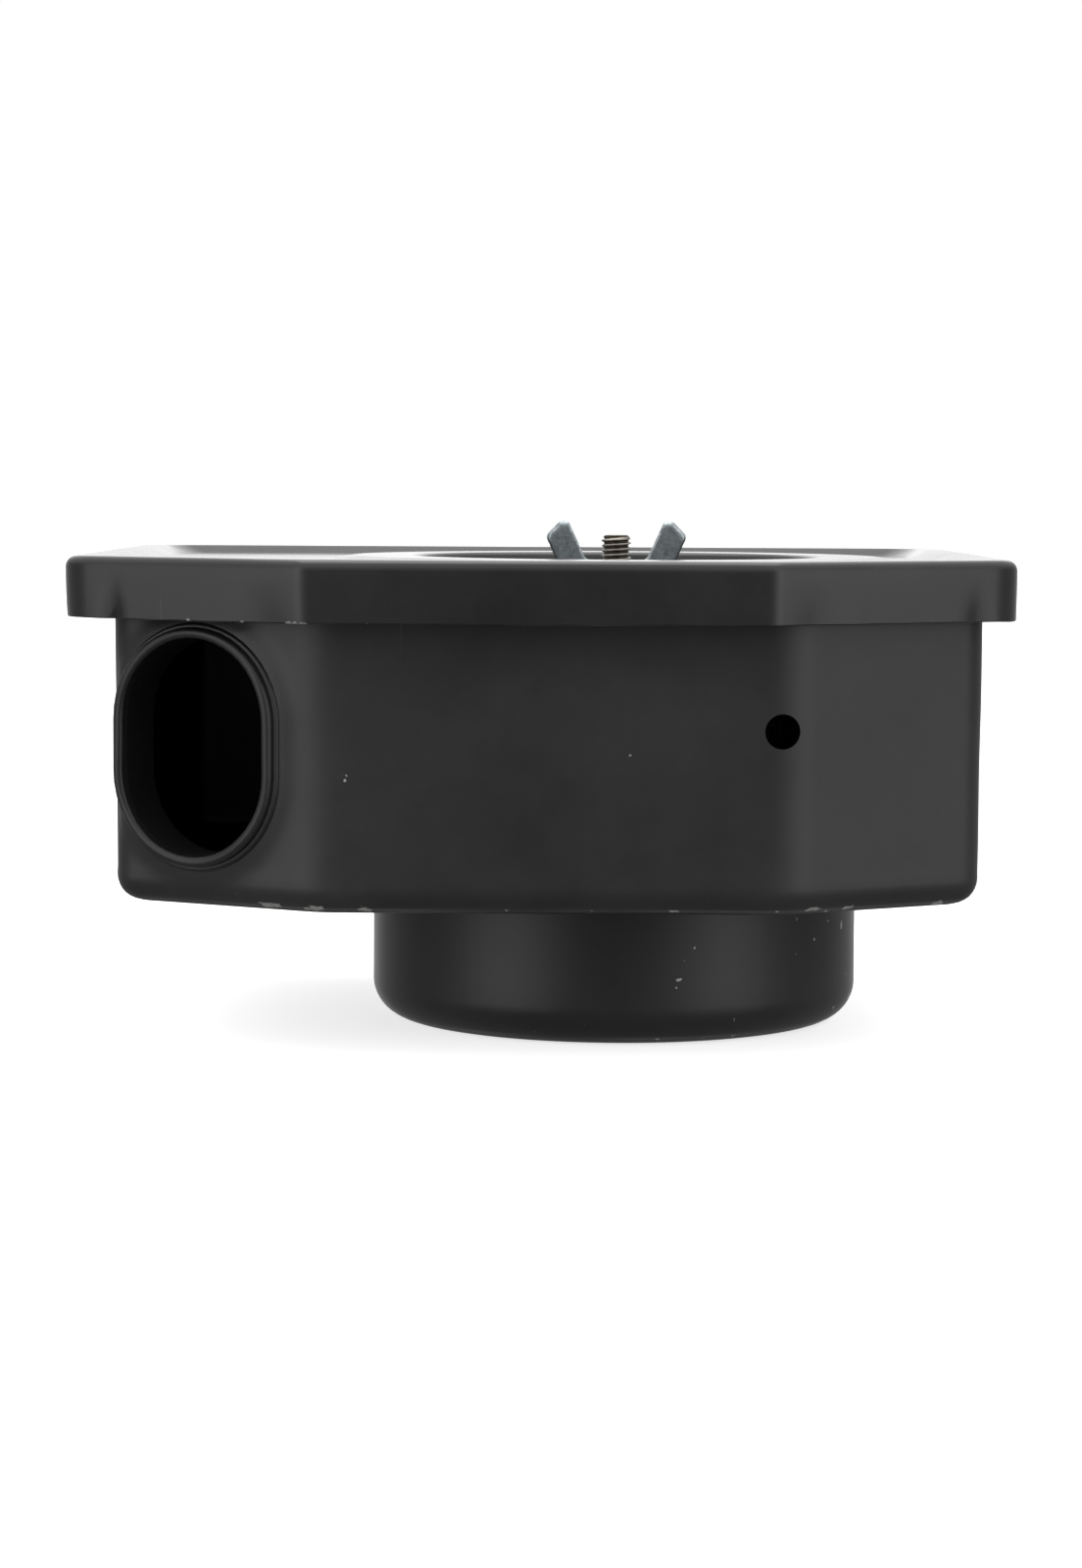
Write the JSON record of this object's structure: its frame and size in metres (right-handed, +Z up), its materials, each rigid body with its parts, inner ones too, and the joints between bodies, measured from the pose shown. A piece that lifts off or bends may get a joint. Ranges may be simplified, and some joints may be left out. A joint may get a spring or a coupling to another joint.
{
  "type": "air filter housing",
  "caption": "Pressed steel air filter housing for a small engine: faceted pan with an oval inlet, round lower cup with a bolted outlet, skirted lid held by a wing nut, filter element inside.",
  "frame": {"origin": "centre of the outlet in the flat bottom of the cup, on the stud's axis", "axes": "+Z up along the stud, -Y out of the front facet, +X to the right seen from the front"},
  "size_m": [0.177, 0.16, 0.0983],
  "materials": {
    "black_paint": "satin black paint on pressed steel",
    "zinc_plate": "dull bluish zinc plating",
    "bare_steel": "lightly tarnished steel",
    "galvanised_sheet": "perforated galvanised sheet",
    "seal_rubber": "matt black rubber",
    "filter_paper": "resin-treated pleated paper",
    "foam": "open-cell foam"
  },
  "bodies": {
    "housing": {"housing_pan": "black_paint", "lower_cup": "black_paint", "outlet_plate": "black_paint", "outlet_weld_nuts": "bare_steel", "stud_bridge": "black_paint", "center_stud": "bare_steel", "stud_nut_upper": "zinc_plate", "stud_nut_lower": "zinc_plate", "inlet_duct": "black_paint", "inlet_collar": "black_paint"},
    "element": {"element_bottom_seal": "seal_rubber", "element_bottom_cap": "zinc_plate", "inner_core": "galvanised_sheet", "pleated_paper": "filter_paper", "outer_screen": "galvanised_sheet", "foam_sleeve": "foam", "element_top_cap": "zinc_plate", "element_top_seal": "seal_rubber"},
    "lid": {"lid": "black_paint", "lid_gasket": "seal_rubber", "lid_seal_washer": "seal_rubber"},
    "captive_washer": {"nut_washer": "zinc_plate"},
    "nut": {"wing_nut": "zinc_plate"}
  },
  "joints": [
    {"name": "lid_lift", "type": "slide", "parent": "housing", "child": "lid", "axis": [0, 0, 1], "range_m": [0, 0.125]},
    {"name": "element_lift", "type": "slide", "parent": "housing", "child": "element", "axis": [0, 0, 1], "range_m": [0, 0.075]},
    {"name": "nut_rise", "type": "slide", "parent": "lid", "child": "captive_washer", "axis": [0, 0, 1], "range_m": [0, 0.012]},
    {"name": "wing_nut_turn", "type": "hinge", "parent": "captive_washer", "child": "nut", "pos_m": [0, 0, 0.085], "axis": [0, 0, 1], "range_deg": [0, 4320]}
  ],
  "couplings": [
    {"joint": "element_lift", "follows": "lid_lift", "ratio": 0.6},
    {"joint": "nut_rise", "follows": "wing_nut_turn", "m_per_rad": 0.00015915}
  ]
}
